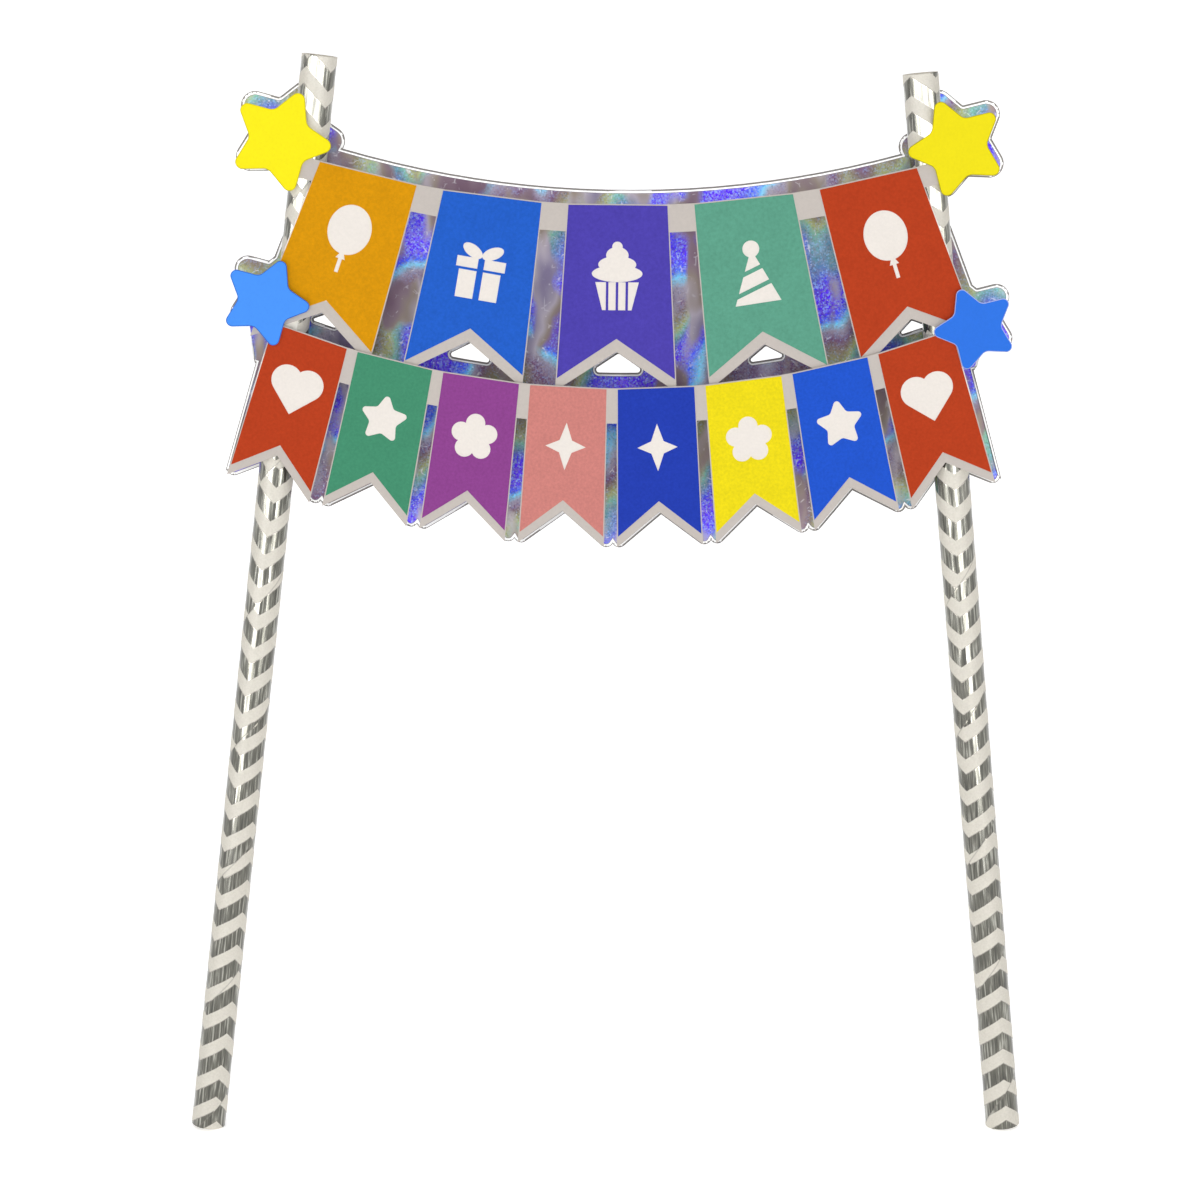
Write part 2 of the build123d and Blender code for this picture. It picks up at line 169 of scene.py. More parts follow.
@dataclass(frozen=True)
class PaperStock(Finish):
    """Uncoated card or printed card, pressed and die-cut.

    It scatters light evenly, and close up it shows the mottle of its fibres and of the ink they drink.

    Args:
        colour: Its colour.
        mottle: How far the mottle lightens and darkens it, as a share.
        fibre_mm: Size of the mottle's grain, drawn coarser than single fibres so that it shows.
        cloud_mm: Size of the clouds in which the fibres lie thicker.
        cloud: How much the clouds count beside the grain.
        roughness: Roughness of its surface.
        tooth_mm: Height of its fibres.
    """

    colour: str
    mottle: float = 0.1
    fibre_mm: float = 0.5
    cloud_mm: float = 4.0
    cloud: float = 0.3
    roughness: float = 0.72
    tooth_mm: float = 0.012

    def dress(self, tree: Tree, shader: Node) -> None:
        """Fill the shader with a mottled colour and a fine tooth.

        Args:
            tree: The material's node tree.
            shader: Its Principled shader.
        """
        place = self.millimetres(tree)
        fibre = add_node(
            tree, "TexNoise", {"Vector": place, "Scale": 1 / self.fibre_mm, "Detail": 3.0, "Roughness": 0.6}
        ).outputs["Fac"]
        cloud = add_node(
            tree, "TexNoise", {"Vector": place, "Scale": 1 / self.cloud_mm, "Detail": 2.0}
        ).outputs["Fac"]
        both = add_node(
            tree, "Math", {0: cloud, 1: self.cloud, 2: fibre}, operation="MULTIPLY_ADD"
        ).outputs[0]
        spread = {"From Min": 0.4, "From Max": 0.9, "To Min": 1 - self.mottle, "To Max": 1 + self.mottle}
        shift = add_node(tree, "MapRange", {"Value": both, **spread}).outputs[0]
        ground = self.ground(tree, place)
        tone = add_node(tree, "HueSaturation", {"Value": shift, "Color": ground}).outputs[0]
        tooth = add_node(
            tree, "Bump", {"Height": fibre, "Distance": self.tooth_mm * MM, "Strength": 0.6}
        ).outputs[0]
        feed(tree, shader, {"Base Color": tone, "Normal": tooth, "Roughness": self.roughness})
        feed(tree, shader, {"IOR": 1.45, "Specular IOR Level": 0.08})

    def ground(self, tree: Tree, place: Socket) -> Colour | Socket:
        """Return the colour under the mottle, plain or as a socket."""
        return linear(self.colour)


@dataclass(frozen=True)
class BorderedCard(PaperStock):
    """White card printed pale grey outside its motifs.

    It reads as a soft grey border and tabs, with the bare white of the card left for each motif.

    Args:
        motif_colour: Colour of the bare card.
        motifs: Middle and half size, in millimetres, of the oval round each motif.
        crisp: How fast the white comes on inside an oval's edge.
    """

    motif_colour: str = "#efe8e0"
    motifs: tuple[tuple[Vector, Vector], ...] = ()
    crisp: float = 40.0

    def ground(self, tree: Tree, place: Socket) -> Socket:
        """Give the border's colour, with the motifs' white inside an oval on each flag.

        Args:
            tree: The material's node tree.
            place: Socket with the place in millimetres.

        Returns:
            Socket with the colour.
        """
        inside = 0.0
        for middle, half in self.motifs:
            spot = add_node(
                tree, "Mapping", {"Vector": place, "Location": middle, "Scale": half}, vector_type="TEXTURE"
            ).outputs[0]
            fade = add_node(tree, "TexGradient", {"Vector": spot}, gradient_type="SPHERICAL")
            inside = add_node(
                tree,
                "Math",
                {0: fade.outputs["Fac"], 1: self.crisp, 2: inside},
                operation="MULTIPLY_ADD",
                use_clamp=True,
            ).outputs[0]
        colours = {6: linear(self.colour), 7: linear(self.motif_colour)}
        return add_node(tree, "Mix", {"Factor": inside, **colours}, data_type="RGBA").outputs[2]


# Colours of one order of the film's grating, a painted reflection fixed in the film's colour; the order
# begins again where it ends
PAINTED_GRATING_SPECTRUM = (
    (0.0, "#5a22ff"),
    (0.16, "#5228ff"),
    (0.23, "#4466ff"),
    (0.28, "#7cdcff"),
    (0.35, "#a09cb2"),
    (0.45, "#76507a"),
    (0.55, "#8c8168"),
    (0.64, "#adb878"),
    (0.71, "#7cbca6"),
    (0.78, "#5f90a8"),
    (0.87, "#4c48ee"),
    (1.0, "#5a22ff"),
)
# Tones painted into the film's metal between the grating's patches: a painted reflection in grey, mauve and
# tan
PAINTED_SILVER_TONES = ((0.3, "#9b8193"), (0.42, "#ae9aa5"), (0.5, "#beb1a6"), (0.58, "#d9d2db"), (0.7, "#a89fbc"))


@dataclass(frozen=True)
class HolographicFilm(Finish):
    """Polyester film with an embossed grating, metallised and glued to card.

    It mirrors its surroundings, and its tones of grey, mauve and tan are painted into the metal's colour in
    upright streaks, a painted reflection. The light that the grating throws to the eye is painted into its
    colour as fixed colours that run through violet, blue, cyan, tan and lime, order after order, in soft
    upright streaks that break into painted sparkles, and it carries the small dents and flecks of the card
    below.

    Args:
        drift_mm: Width, depth and height of the silver's streaks.
        order_mm: Height of film over which the colours run once.
        slant_mm: Width of film over which they run once.
        begin: Where in the run the frame's origin lies.
        sway_mm: Width, depth and height of the waves that the colours sway with.
        sway: How far they sway, as a share of an order.
        patch_mm: Width, depth and height of the patches in which the grating comes on.
        catch: Least and most of the patches' noise between which it comes on.
        seed: Which of the noise's patches are used.
        speckle_mm: Size of the sparkles, drawn coarser than the grating's own cells so that they show.
        flash_colour: Colour of the cells painted pale as glints, a painted highlight.
        gloom_colour: Colour of the cells painted dark among the painted glints.
        fleck_mm: Distance between white flecks.
        scratch_mm: Size of the scratches.
        scuff_mm: Size of the places that are scratched.
        mark_colour: Colour of flecks and scratches.
        crinkle_mm: Size of the dents.
        dent_mm: Depth of the dents.
    """

    drift_mm: Triple = (7.0, 1.0, 16.0)
    order_mm: float = 28.0
    slant_mm: float = 45.0
    begin: float = 0.35
    sway_mm: Triple = (8.0, 8.0, 17.0)
    sway: float = 1.0
    patch_mm: Triple = (6.0, 6.0, 12.0)
    catch: tuple[float, float] = (0.41, 0.5)
    seed: float = 8.0
    speckle_mm: float = 0.26
    flash_colour: str = "#a9cdff"
    gloom_colour: str = "#4a4350"
    fleck_mm: float = 1.7
    scratch_mm: float = 1.8
    scuff_mm: float = 1.4286
    mark_colour: str = "#f4f2f6"
    crinkle_mm: float = 1.3
    dent_mm: float = 0.05

    def dress(self, tree: Tree, shader: Node) -> None:
        """Fill the shader with silver tones, the grating's colours and its sparkles, all painted reflection,
        and with flecks and dents.

        Args:
            tree: The material's node tree.
            shader: Its Principled shader.
        """
        place = self.millimetres(tree)
        cells = add_node(tree, "TexVoronoi", {"Vector": place, "Scale": 1 / self.speckle_mm})
        draws = add_node(tree, "SeparateColor", {"Color": cells.outputs["Color"]}).outputs
        order = self.order(tree, place)
        cover = self.cover(tree, place, draws[0])
        marks = self.marks(tree, place)
        # Painted sparkle: cells painted pale as glints, most where the painted colour is strongest, and cells
        # painted dark
        vivid = add_node(tree, "SeparateColor", {"Color": order}, mode="HSV").outputs[1]
        some = {"From Min": 0.6, "From Max": 0.95, "To Max": 0.7}
        flash = add_node(tree, "MapRange", {"Value": draws[1], **some}).outputs[0]
        flash = add_node(tree, "Math", {0: flash, 1: cover}, operation="MULTIPLY").outputs[0]
        flash = add_node(tree, "Math", {0: flash, 1: vivid}, operation="MULTIPLY").outputs[0]
        few = {"From Min": 0.28, "From Max": 0.05, "To Max": 0.35}
        gloom = add_node(tree, "MapRange", {"Value": draws[2], **few}).outputs[0]
        gloom = add_node(tree, "Math", {0: gloom, 1: cover}, operation="MULTIPLY").outputs[0]
        layers = (
            (cover, order),
            (flash, linear(self.flash_colour)),
            (gloom, linear(self.gloom_colour)),
            (marks, linear(self.mark_colour)),
        )
        colour = self.silver(tree, place)
        for share, over in layers:
            mixed = {"Factor": share, 6: colour, 7: over}
            colour = add_node(tree, "Mix", mixed, data_type="RGBA").outputs[2]
        crinkle = add_node(
            tree,
            "TexNoise",
            {"Vector": place, "Scale": 1 / self.crinkle_mm, "Detail": 4.0, "Roughness": 0.65},
        ).outputs["Fac"]
        height = add_node(tree, "Math", {0: marks, 1: 0.6, 2: crinkle}, operation="MULTIPLY_ADD").outputs[0]
        dents = add_node(
            tree, "Bump", {"Height": height, "Distance": self.dent_mm * MM, "Strength": 0.5}
        ).outputs[0]
        # Plain silver mirrors, and the grating spreads what it throws
        mirror = add_node(tree, "MapRange", {"Value": cover, "To Min": 0.95, "To Max": 0.1}).outputs[0]
        feed(tree, shader, {"Base Color": colour, "Normal": dents, "Metallic": mirror, "Roughness": 0.7})

    def silver(self, tree: Tree, place: Socket) -> Socket:
        """Give the metal's tones of grey, mauve and tan, painted in upright streaks as a painted reflection.

        Args:
            tree: The material's node tree.
            place: Socket with the place in millimetres.

        Returns:
            Socket with the colour.
        """
        drawn = add_node(tree, "VectorMath", {0: place, 1: self.drift_mm}, operation="DIVIDE").outputs[0]
        drift = add_node(tree, "TexNoise", {"Vector": drawn, "Scale": 1.0, "Detail": 2.0})
        tones = add_node(tree, "ValToRGB", {"Fac": drift.outputs["Fac"]}, stops=PAINTED_SILVER_TONES)
        return tones.outputs["Color"]

    def order(self, tree: Tree, place: Socket) -> Socket:
        """Give the grating's colours, a painted reflection, which run down and across the film and sway.

        Args:
            tree: The material's node tree.
            place: Socket with the place in millimetres.

        Returns:
            Socket with the colour.
        """
        run = add_node(
            tree,
            "VectorMath",
            {0: place, 1: (1 / self.slant_mm, 0.0, -1 / self.order_mm)},
            operation="DOT_PRODUCT",
        ).outputs["Value"]
        waves = add_node(tree, "VectorMath", {0: place, 1: self.sway_mm}, operation="DIVIDE").outputs[0]
        waves = add_node(tree, "TexNoise", {"Vector": waves, "Scale": 1.0, "Detail": 1.0})
        run = add_node(
            tree, "Math", {0: waves.outputs["Fac"], 1: self.sway, 2: run}, operation="MULTIPLY_ADD"
        ).outputs[0]
        run = add_node(tree, "Math", {0: run, 1: self.begin}, operation="ADD").outputs[0]
        run = add_node(tree, "Math", {0: run}, operation="FRACT").outputs[0]
        return add_node(tree, "ValToRGB", {"Fac": run}, stops=PAINTED_GRATING_SPECTRUM).outputs["Color"]

    def cover(self, tree: Tree, place: Socket, draw: Socket) -> Socket:
        """Give how far the grating's painted colours cover the silver, in patches broken into single cells.

        Args:
            tree: The material's node tree.
            place: Socket with the place in millimetres.
            draw: Socket with a number from 0 to 1 for each cell.

        Returns:
            Socket with a share from 0 to 1.
        """
        patch = add_node(tree, "VectorMath", {0: place, 1: self.patch_mm}, operation="DIVIDE").outputs[0]
        patch = add_node(
            tree,
            "TexNoise",
            {"Vector": patch, "W": self.seed, "Scale": 1.0, "Detail": 1.5},
            noise_dimensions="4D",
        ).outputs["Fac"]
        least, most = self.catch
        patch = add_node(tree, "MapRange", {"Value": patch, "From Min": least, "From Max": most}).outputs[0]
        broken = add_node(tree, "MapRange", {"Value": draw, "To Min": 0.6, "To Max": 1.15}).outputs[0]
        return add_node(tree, "Math", {0: patch, 1: broken}, operation="MULTIPLY", use_clamp=True).outputs[0]

    def marks(self, tree: Tree, place: Socket) -> Socket:
        """Give how far white flecks and scratches cover the film.

        Args:
            tree: The material's node tree.
            place: Socket with the place in millimetres.

        Returns:
            Socket with a share from 0 to 1.
        """
        fleck = add_node(
            tree, "TexVoronoi", {"Vector": place, "Scale": 1 / self.fleck_mm}
        ).outputs["Distance"]
        dot = {"From Min": 0.11, "From Max": 0.05, "To Max": 0.6}
        fleck = add_node(tree, "MapRange", {"Value": fleck, **dot}).outputs[0]
        scratch = add_node(
            tree, "TexVoronoi", {"Vector": place, "Scale": 1 / self.scratch_mm}, feature="DISTANCE_TO_EDGE"
        ).outputs["Distance"]
        line = {"From Min": 0.06, "From Max": 0.02, "To Max": 0.55}
        scratch = add_node(tree, "MapRange", {"Value": scratch, **line}).outputs[0]
        scuff = add_node(
            tree, "TexNoise", {"Vector": place, "Scale": 1 / self.scuff_mm, "Detail": 1.0}
        ).outputs["Fac"]
        scuff = add_node(tree, "MapRange", {"Value": scuff, "From Min": 0.6, "From Max": 0.7}).outputs[0]
        return add_node(
            tree, "Math", {0: scratch, 1: scuff, 2: fleck}, operation="MULTIPLY_ADD", use_clamp=True
        ).outputs[0]


@dataclass(frozen=True)
class ChevronWrap(Finish):
    """Straw paper printed with silver foil chevrons, slit to a ribbon and wound on a spiral.

    The cream paper is satin. The foil mirrors the lights as streaks along the straw, and its creases are
    painted into its colour as dark and pale streaks, a painted reflection. The pattern steps sideways at each
    turn of the ribbon's seam.

    Args:
        seam_mm: Height of a seam of the ribbon at the straw's front.
        apex_mm: Where along the ribbon a chevron has its point.
        band_mm: Height at which a chevron begins there.
        winding_mm: Height of one turn of the ribbon.
        zigzag_mm: Width of a chevron.
        rise_mm: Height of its point.
        pitch_mm: Distance between chevrons.
        turn_degrees: How far the print is turned from square.
        foil_share: The foil's share of the pitch.
        soft_share: Softness of its edge, as a share of the pitch.
        outline_share: Width of its outline, painted shade along the foil's embossed edge, as a share of the
            pitch.
        seam_share: Width of the seam, as a share of the winding.
        ragged_mm: Size of the nicks in the foil's edge.
        ragged_share: Their depth, as a share of the pitch.
        fibre_mm: Size of the paper's fibres, drawn coarser than they are so that they show.
        crease_mm: Width, depth and length of the foil's creases from winding, raised and painted as streaks
            of reflection.
        relief_mm: Height of foil, creases and seam.
        radius_mm: Outer radius of the straw.
    """

    seam_mm: float
    apex_mm: float
    band_mm: float
    winding_mm: float
    zigzag_mm: float
    rise_mm: float
    pitch_mm: float
    turn_degrees: float
    foil_share: float = 0.535
    soft_share: float = 0.012
    outline_share: float = 0.022
    seam_share: float = 0.012
    ragged_mm: float = 0.4545
    ragged_share: float = 0.03
    fibre_mm: float = 0.3333
    crease_mm: Triple = (0.3846, 1.0, 6.25)
    relief_mm: float = 0.05
    radius_mm: float = 3.15

    def dress(self, tree: Tree, shader: Node) -> None:
        """Fill the shader with paper, foil, the foil's outline of painted shade and the ribbon's seam.

        Args:
            tree: The material's node tree.
            shader: Its Principled shader.
        """
        place = self.millimetres(tree)
        along, up, lift = self.ribbon(tree, place)
        middle = self.chevrons(tree, place, along, up)
        edge = self.foil_share / 2
        span = {"From Min": edge + self.soft_share, "From Max": edge - self.soft_share}
        foil = add_node(tree, "MapRange", {"Value": middle, **span}).outputs[0]
        seam = add_node(tree, "Math", {0: lift, 1: 0.5}, operation="PINGPONG").outputs[0]
        span = {"From Max": self.seam_share, "To Min": 1.0, "To Max": 0.0}
        seam = add_node(tree, "MapRange", {"Value": seam, **span}).outputs[0]
        fibre = add_node(
            tree, "TexNoise", {"Vector": place, "Scale": 1 / self.fibre_mm, "Detail": 3.0}
        ).outputs["Fac"]
        cream = ((0.3, "#cdc8bb"), (0.7, "#d8d3c7"))
        paper = add_node(tree, "ValToRGB", {"Fac": fibre}, stops=cream).outputs["Color"]
        drawn = add_node(tree, "CombineXYZ", {0: along, 2: up}).outputs[0]
        drawn = add_node(tree, "VectorMath", {0: drawn, 1: self.crease_mm}, operation="DIVIDE").outputs[0]
        crease = add_node(tree, "TexNoise", {"Vector": drawn, "Scale": 1.0, "Detail": 3.0}).outputs["Fac"]
        # The creases are painted as dark and pale streaks in the foil's colour: a painted reflection
        painted_crease_greys = ((0.34, "#3b3a33"), (0.46, "#545349"), (0.55, "#6a695f"), (0.66, "#a8a79d"))
        metal = add_node(tree, "ValToRGB", {"Fac": crease}, stops=painted_crease_greys).outputs["Color"]
        # The foil's outline, painted shade along its embossed edge, and the ribbon's dark seam, both a little
        # darker
        painted_outline_shade = add_node(
            tree, "Math", {0: middle, 1: edge, 2: self.outline_share}, operation="COMPARE"
        ).outputs[0]
        shade = add_node(tree, "Math", {0: seam, 1: painted_outline_shade}, operation="MAXIMUM").outputs[0]
        shade = add_node(tree, "Math", {0: shade, 1: 0.5}, operation="MULTIPLY").outputs[0]
        colour = paper
        for share, over in ((foil, metal), (shade, linear("#77726a"))):
            mixed = {"Factor": share, 6: colour, 7: over}
            colour = add_node(tree, "Mix", mixed, data_type="RGBA").outputs[2]
        rough = add_node(tree, "MapRange", {"Value": foil, "To Min": 0.55, "To Max": 0.14}).outputs[0]
        height = crease
        for part, rise in ((foil, 0.2), (seam, -0.5)):
            raised = {0: part, 1: rise, 2: height}
            height = add_node(tree, "Math", raised, operation="MULTIPLY_ADD").outputs[0]
        relief = add_node(
            tree, "Bump", {"Height": height, "Distance": self.relief_mm * MM, "Strength": 0.7}
        ).outputs[0]
        feed(tree, shader, {"Base Color": colour, "Metallic": foil, "Roughness": rough, "Normal": relief})
        feed(tree, shader, {"Coat Weight": foil, "Coat IOR": 1.6, "Coat Roughness": 0.2})

    def ribbon(self, tree: Tree, place: Socket) -> tuple[Socket, Socket, Socket]:
        """Unwind the straw to its flat ribbon.

        Args:
            tree: The material's node tree.
            place: Socket with the place in millimetres.

        Returns:
            Sockets with the millimetres along the ribbon, the millimetres up the straw, and how many turns
            of the ribbon the place lies above the seam.
        """
        around = math.tau * self.radius_mm
        split = add_node(tree, "SeparateXYZ", {0: place})
        right, rear, up = split.outputs
        front = add_node(tree, "Math", {0: rear, 1: -1.0}, operation="MULTIPLY").outputs[0]
        angle = add_node(tree, "Math", {0: right, 1: front}, operation="ARCTAN2").outputs[0]
        arc = add_node(tree, "Math", {0: angle, 1: self.radius_mm}, operation="MULTIPLY").outputs[0]
        lift = -self.seam_mm / self.winding_mm
        for part, gain in ((arc, -1 / around), (up, 1 / self.winding_mm)):
            summed = {0: part, 1: gain, 2: lift}
            lift = add_node(tree, "Math", summed, operation="MULTIPLY_ADD").outputs[0]
        wind = add_node(tree, "Math", {0: lift}, operation="FLOOR").outputs[0]
        along = add_node(tree, "Math", {0: wind, 1: around, 2: arc}, operation="MULTIPLY_ADD").outputs[0]
        return along, up, lift

    def chevrons(self, tree: Tree, place: Socket, along: Socket, up: Socket) -> Socket:
        """Give how far a place lies from the middle of its foil chevron.

        Args:
            tree: The material's node tree.
            place: Socket with the place in millimetres.
            along: Socket with the millimetres along the ribbon.
            up: Socket with the millimetres up the straw.

        Returns:
            Socket with the distance, as a share of the pitch.
        """
        turn = math.radians(self.turn_degrees)
        across = -self.apex_mm / self.zigzag_mm
        for part, gain in ((along, math.cos(turn)), (up, -math.sin(turn))):
            summed = {0: part, 1: gain / self.zigzag_mm, 2: across}
            across = add_node(tree, "Math", summed, operation="MULTIPLY_ADD").outputs[0]
        zigzag = add_node(tree, "Math", {0: across, 1: 0.5}, operation="PINGPONG").outputs[0]
        ragged = add_node(
            tree, "TexNoise", {"Vector": place, "Scale": 1 / self.ragged_mm, "Detail": 2.0}
        ).outputs["Fac"]
        gains = (
            (along, math.sin(turn) / self.pitch_mm),
            (up, math.cos(turn) / self.pitch_mm),
            (zigzag, -2 * self.rise_mm / self.pitch_mm),
            (ragged, self.ragged_share),
        )
        row = -self.band_mm / self.pitch_mm
        for part, gain in gains:
            summed = {0: part, 1: gain, 2: row}
            row = add_node(tree, "Math", summed, operation="MULTIPLY_ADD").outputs[0]
        row = add_node(tree, "Math", {0: row, 1: 1.0, 2: 0.0}, operation="WRAP").outputs[0]
        row = add_node(tree, "Math", {0: row, 1: self.foil_share / 2}, operation="SUBTRACT").outputs[0]
        return add_node(tree, "Math", {0: row}, operation="ABSOLUTE").outputs[0]


@dataclass(frozen=True)
class PadFoam(Finish):
    """Closed-cell foam tape: white, soft and pitted with fine cells, their pits painted darker as shade.

    Args:
        cell_mm: Size of the cells.
        pit_mm: Depth of the cut ones.
    """

    cell_mm: float = 0.35
    pit_mm: float = 0.1

    def dress(self, tree: Tree, shader: Node) -> None:
        """Fill the shader with cells.

        Args:
            tree: The material's node tree.
            shader: Its Principled shader.
        """
        place = self.millimetres(tree)
        cells = add_node(tree, "TexVoronoi", {"Vector": place, "Scale": 1 / self.cell_mm}).outputs["Distance"]
        # The cells' pits are painted darker: painted shade
        pit_shade_whites = ((0.1, "#dedcd6"), (0.6, "#f4f3ef"))
        tone = add_node(tree, "ValToRGB", {"Fac": cells}, stops=pit_shade_whites).outputs["Color"]
        pits = add_node(
            tree, "Bump", {"Height": cells, "Distance": self.pit_mm * MM, "Strength": 0.8}
        ).outputs[0]
        feed(tree, shader, {"Base Color": tone, "Normal": pits, "Roughness": 0.9})


@dataclass(frozen=True)
class HotGlue(Finish):
    """Hot-melt glue, set: milky, half clear and smooth, with a lumpy skin.

    Args:
        lump_mm: Size of the lumps.
        skin_mm: Their height.
    """

    lump_mm: float = 1.6
    skin_mm: float = 0.12

    def dress(self, tree: Tree, shader: Node) -> None:
        """Fill the shader with milky glue.

        Args:
            tree: The material's node tree.
            shader: Its Principled shader.
        """
        place = self.millimetres(tree)
        lumps = add_node(tree, "TexNoise", {"Vector": place, "Scale": 1 / self.lump_mm}).outputs["Fac"]
        milks = ((0.35, "#e6e2d6"), (0.65, "#f4f1e8"))
        tone = add_node(tree, "ValToRGB", {"Fac": lumps}, stops=milks).outputs["Color"]
        skin = add_node(
            tree, "Bump", {"Height": lumps, "Distance": self.skin_mm * MM, "Strength": 0.6}
        ).outputs[0]
        feed(tree, shader, {"Base Color": tone, "Normal": skin, "Roughness": 0.3, "IOR": 1.48})


@dataclass(frozen=True)
class BacklitAcrylic(Finish):
    """White acrylic sheet, lit from behind: even, matte and bright enough to drown the shadows."""

    def dress(self, tree: Tree, shader: Node) -> None:
        """Fill the shader with glowing white.

        Args:
            tree: The material's node tree.
            shader: Its Principled shader.
        """
        feed(tree, shader, {"Base Color": linear("#f6f6f5"), "Roughness": 0.9, "Specular IOR Level": 0.1})
        feed(tree, shader, {"Emission Color": linear("#ffffff"), "Emission Strength": 0.5})


class Ink(Enum):
    """Offset inks printed on the flags."""

    AMBER = "#d9960a"
    BLUE = "#2560c9"
    VIOLET = "#4f43ad"
    TEAL = "#5fa189"
    RED = "#b8401f"
    GREEN = "#46906f"
    PURPLE = "#8f4590"
    PINK = "#cf837c"
    ROYAL_BLUE = "#253fb0"
    YELLOW = "#eedb1a"
    COBALT = "#2356cd"

    def finish(self) -> PaperStock:
        """Return card printed with this ink."""
        return PaperStock(f"offset_printed_card_{self.name.lower()}", self.value)


class StarCard(Enum):
    """Dyed cards of the stars: the colours of face and rolled edge. Each rolled edge is painted shade, darker
    than its face, but on the lower right star a painted highlight, paler than its face. The right stars'
    faces are the left stars' cards painted darker as shade.
    """

    LEMON = ("#fcee1e", "#d9c81a")
    # Painted shade: the left star's lemon card made darker
    LEMON_PAINTED_SHADE = ("#f3e31c", "#b9ac1c")
    SKY = ("#4d97fb", "#3a6fd0")
    # Painted shade: the left star's sky card made darker, with a rim painted pale as a highlight
    SKY_PAINTED_SHADE = ("#3377e6", "#a9b4e6")


class Side(Enum):
    """Sides of the topper, seen from the front."""

    LEFT = "left"
    RIGHT = "right"


class Row(Enum):
    """Rows of flags."""

    UPPER = "upper"
    LOWER = "lower"


# The die's cut through film and board: a thin grey line of painted shade along the cut edge
CUT_LINE_PAINTED_SHADE = PaperStock("board_edge_painted_shade", "#86827f", mottle=0.05)
# Film pressed flat along the cut: its grating is crushed, so it throws light back nearly white
PRESSED_RIM = PaperStock("pressed_film_rim", "#f8f8f7", mottle=0.03)
# The fold between the pressed rim and the film's face: a thin dark line of painted shade
RIM_CREASE_PAINTED_SHADE = PaperStock("film_rim_crease_painted_shade", "#827c84", mottle=0.05)
# Board pressed from recycled paper: plain grey and matte
GREY_BOARD = PaperStock("recycled_grey_board", "#b9b4ad", mottle=0.05)
# Bleached kraft of the straws' inner plies: warm white and matte
STRAW_CORE = PaperStock("kraft_white_straw_paper", "#ece7da", mottle=0.04)
FILM = HolographicFilm("holographic_polyester_film")
FOAM = PadFoam("closed_cell_foam_tape")
GLUE = HotGlue("hot_melt_glue")
LEFT_WRAP = ChevronWrap(
    "foil_chevron_straw_paper_left",
    seam_mm=51.8,
    apex_mm=3.411,
    band_mm=0.3,
    winding_mm=24.81,
    zigzag_mm=9.383,
    rise_mm=3.641,
    pitch_mm=6.223,
    turn_degrees=3.964,
)
RIGHT_WRAP = ChevronWrap(
    "foil_chevron_straw_paper_right",
    seam_mm=6.2,
    apex_mm=-4.766,
    band_mm=0.59,
    winding_mm=24.66,
    zigzag_mm=9.781,
    rise_mm=3.215,
    pitch_mm=6.065,
    turn_degrees=2.655,
)


def dress_node(name: str, finish: Finish) -> bpy.types.Object:
    """Give a CAD node its finish.

    Args:
        name: The node's name.
        finish: Finish for all of it.

    Returns:
        The node's object.
    """
    piece = frame["nodes"][name]
    if not piece.material_slots:
        piece.data.materials.append(finish.material())
    for place in piece.material_slots:
        place.material = finish.material()
    LOG.info("%s: %s", name, finish.name)
    return piece


def turn_profile(
    shape: bmesh.types.BMesh, profile: Iterable[tuple[float, float]], around: int, closed: bool = False
) -> list[list[bmesh.types.BMVert]]:
    """Turn a profile round Z and join its rings with faces.

    Args:
        shape: Shape that takes the rings.
        profile: Radius and height of each ring, in metres.
        around: Corners in each ring.
        closed: Whether the last ring is joined to the first.

    Returns:
        The corners of each ring.
    """
    angles = [math.tau * corner / around for corner in range(around)]
    rings = []
    for reach, height in profile:
        corners = [(reach * math.sin(angle), -reach * math.cos(angle), height) for angle in angles]
        rings.append([shape.verts.new(corner) for corner in corners])
    for low, high in zip(rings, rings[1:] + rings[:1] if closed else rings[1:]):
        for corner in range(around):
            following = (corner + 1) % around
            shape.faces.new((low[corner], low[following], high[following], high[corner]))
    return rings


def make_mesh(name: str, shape: bmesh.types.BMesh, *finishes: Finish) -> bpy.types.Mesh:
    """Turn a shape into a mesh and give it its finishes.

    Args:
        name: Name for the mesh.
        shape: The shape, which is used up.
        finishes: Finishes in the order of the faces' numbers.

    Returns:
        The mesh.
    """
    mesh = bpy.data.meshes.new(name)
    shape.to_mesh(mesh)
    shape.free()
    for finish in finishes:
        mesh.materials.append(finish.material())
    return mesh


def add_object(name: str, data: bpy.types.ID) -> bpy.types.Object:
    """Add an object to the scene.

    Args:
        name: Name for it.
        data: Its mesh, light or camera.

    Returns:
        The object.
    """
    made = bpy.data.objects.new(name, data)
    bpy.context.scene.collection.objects.link(made)
    return made


def place_piece(mesh: bpy.types.Mesh, node: str, where: Matrix | None = None) -> bpy.types.Object:
    """Put a new piece in the scene in place of a CAD node.

    Args:
        mesh: Its mesh, which gives it its name.
        node: CAD node that it stands for.
        where: Where it goes, if its mesh isn't in place already.

    Returns:
        The piece.
    """
    piece = add_object(mesh.name, mesh)
    if where is not None:
        piece.matrix_world = where
    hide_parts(node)
    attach(piece, "root")
    LOG.info("%s stands for %s", piece.name, node)
    return piece


